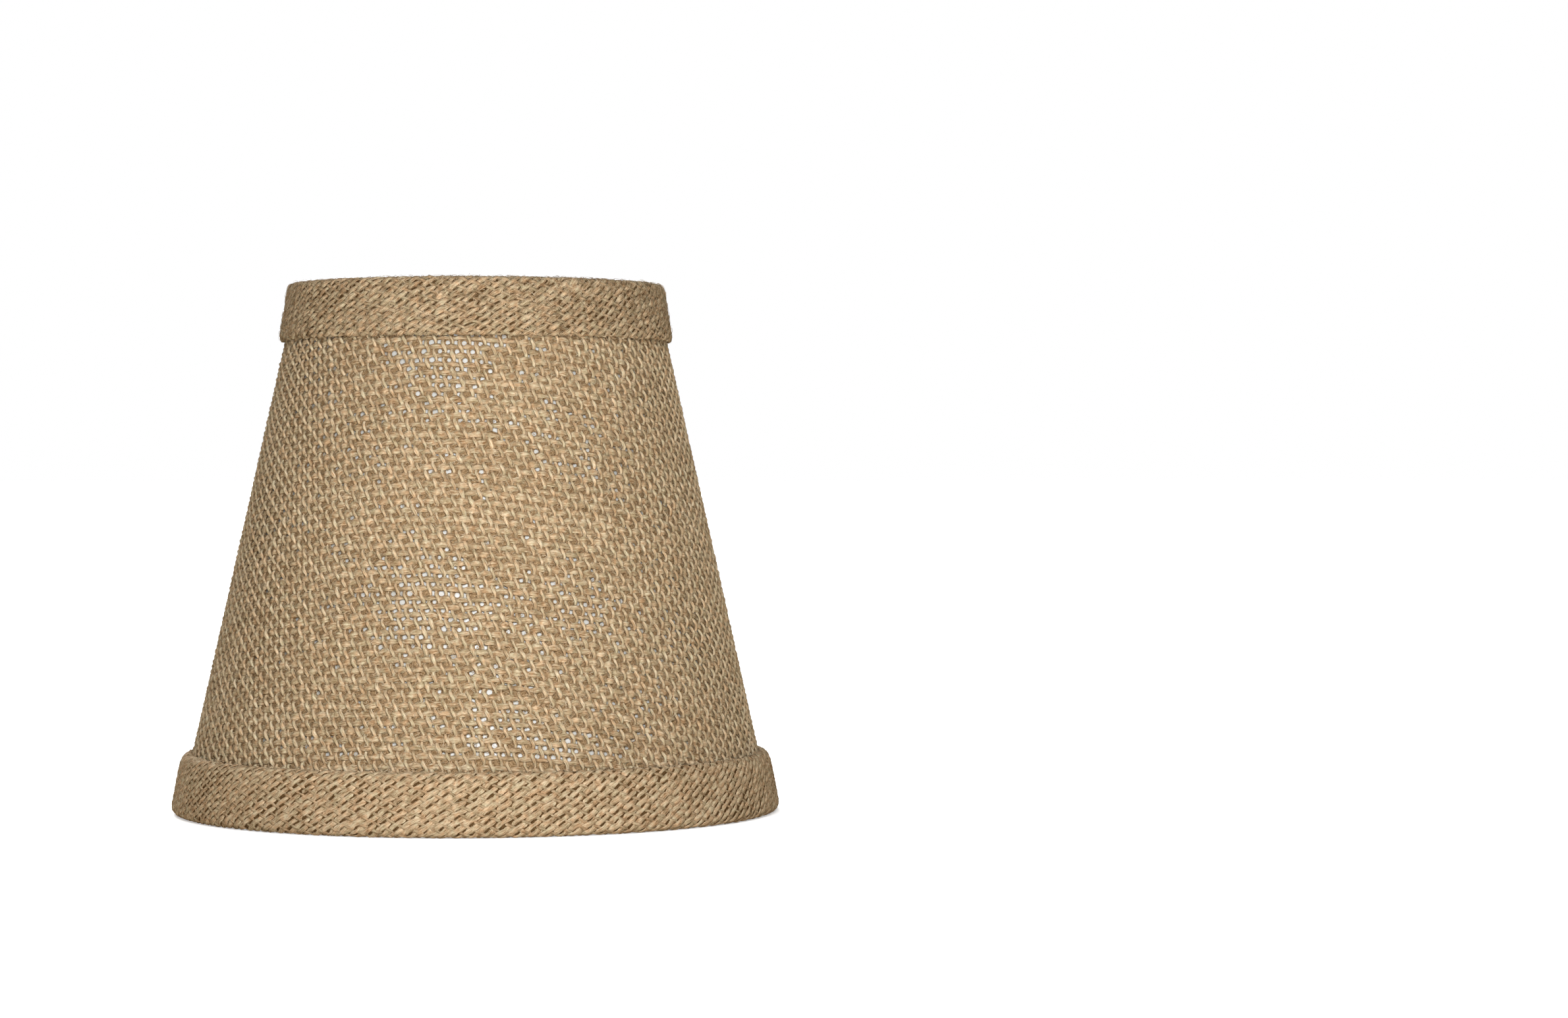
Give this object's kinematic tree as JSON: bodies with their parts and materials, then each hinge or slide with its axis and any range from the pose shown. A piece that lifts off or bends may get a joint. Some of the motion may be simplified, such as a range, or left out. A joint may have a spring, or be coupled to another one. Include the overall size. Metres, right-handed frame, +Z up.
{
  "type": "lamp shade",
  "caption": "Small tapered burlap lamp shade with folded trim bands, a white liner, wire rings and a sprung clip that grips a candle bulb.",
  "frame": {"origin": "centre of the bottom rim, on the surface that the shade stands on", "axes": "+Z up along the shade's axis, +X along the fitter strap and the clip's pin, -Y towards the front, +Y towards the cover's lap"},
  "size_m": [0.1524, 0.1524, 0.1322],
  "materials": {
    "burlap": "open plain-weave jute, matt, with slubs and loose fibres",
    "trim_burlap": "bias-cut jute, folded, matt and fuzzy",
    "liner": "white styrene laminate",
    "ring_wire": "white enamel on steel",
    "clip_nickel": "nickel plate",
    "spring_wire": "brass-plated spring wire"
  },
  "bodies": {
    "shade": {"fabric_cover": "burlap", "styrene_liner": "liner", "top_ring": "ring_wire", "bottom_ring": "ring_wire", "top_trim": "trim_burlap", "bottom_trim": "trim_burlap", "fitter_crossbar": "ring_wire"},
    "clip": {"saddle_rivet": "clip_nickel", "clip_saddle": "clip_nickel", "clip_pin": "clip_nickel"},
    "loop_front": {"clip_loop_front": "spring_wire"},
    "loop_back": {"clip_loop_back": "spring_wire"}
  },
  "joints": [
    {"name": "clip_swivel", "type": "hinge", "parent": "shade", "child": "clip", "pos_m": [0, 0, 0.1175], "axis": [0, 0, 1], "continuous": true},
    {"name": "front_loop_spread", "type": "hinge", "parent": "clip", "child": "loop_front", "pos_m": [0, 0, 0.1135], "axis": [-1, 0, 0], "range_deg": [0, 25], "stiffness_Nm_per_rad": 0.03, "springref_deg": -17.19},
    {"name": "back_loop_spread", "type": "hinge", "parent": "clip", "child": "loop_back", "pos_m": [0, 0, 0.1135], "axis": [1, 0, 0], "range_deg": [0, 25], "stiffness_Nm_per_rad": 0.03, "springref_deg": -17.19}
  ]
}
